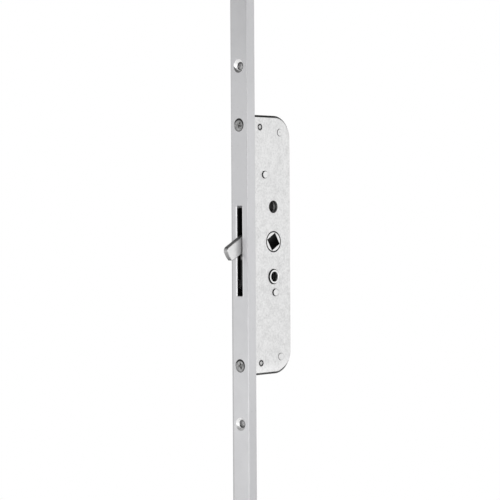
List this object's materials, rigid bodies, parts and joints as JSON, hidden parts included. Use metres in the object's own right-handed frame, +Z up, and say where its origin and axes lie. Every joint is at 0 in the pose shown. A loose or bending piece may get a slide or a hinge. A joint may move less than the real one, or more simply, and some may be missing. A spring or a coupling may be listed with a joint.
{
  "type": "cremone bolt",
  "caption": "Cremone bolt: slender U-section forend with a gearbox case, square spindle hub, swinging hook and shoot bolts on rods.",
  "frame": {"origin": "on the face of the forend, midway between the two inner fixing holes", "axes": "+X across the forend, +Y back from its face into the stile, +Z up along the forend"},
  "size_m": [0.014, 0.0519, 0.5712],
  "materials": {
    "forend": "satin silver paint",
    "case": "zinc plated sheet, faintly mottled",
    "hub": "die-cast zinc, machined faces",
    "hook": "nickel plated, eased edges",
    "inner_steel": "zinc plated",
    "bolts": "nickel plated",
    "rivets": "zinc plated, staked heads",
    "screws": "zinc plated",
    "sleeves": "turned steel",
    "guides": "moulded black plastic"
  },
  "bodies": {
    "frame": {"forend": "forend", "case_shell": "case", "case_cover": "case", "upper_lug_block": "inner_steel", "lower_lug_block": "inner_steel", "case_screws": "screws", "lug_rivets": "rivets", "rear_rivets": "rivets", "rear_spacers": "sleeves", "slide_guide_rivet": "rivets", "tie_rivet": "rivets", "upper_screw_sleeve": "sleeves", "lower_screw_sleeve": "sleeves", "hook_pivot_pin": "inner_steel", "hook_spacers": "sleeves", "rod_guides": "guides"},
    "follower": {"follower": "hub"},
    "upper_drive": {"upper_drive_slide": "inner_steel", "hook_drive_pin": "inner_steel", "upper_rod": "inner_steel", "upper_shoot_bolt": "bolts", "upper_bolt_rivet": "rivets"},
    "lower_drive": {"lower_drive_slide": "inner_steel", "lower_rod": "inner_steel", "lower_shoot_bolt": "bolts", "lower_bolt_rivet": "rivets"},
    "hook": {"hook_bolt": "hook"}
  },
  "joints": [
    {"name": "upper_rod_slide", "type": "slide", "parent": "frame", "child": "upper_drive", "axis": [0, 0, 1], "range_m": [-0.00507, 0.00965]},
    {"name": "follower_turn", "type": "hinge", "parent": "frame", "child": "follower", "pos_m": [0, 0.024, 0.002], "axis": [1, 0, 0], "range_deg": [-31.1, 59.1]},
    {"name": "lower_rod_slide", "type": "slide", "parent": "frame", "child": "lower_drive", "axis": [0, 0, -1], "range_m": [-0.00508, 0.00966]},
    {"name": "hook_swing", "type": "hinge", "parent": "frame", "child": "hook", "pos_m": [0, 0.006, -0.024], "axis": [1, 0, 0], "range_deg": [-29.1, 55.35]}
  ],
  "couplings": [
    {"joint": "follower_turn", "follows": "upper_rod_slide", "rad_per_m": 106.67},
    {"joint": "lower_rod_slide", "follows": "upper_rod_slide", "ratio": 1},
    {"joint": "hook_swing", "follows": "upper_rod_slide", "rad_per_m": 100}
  ]
}
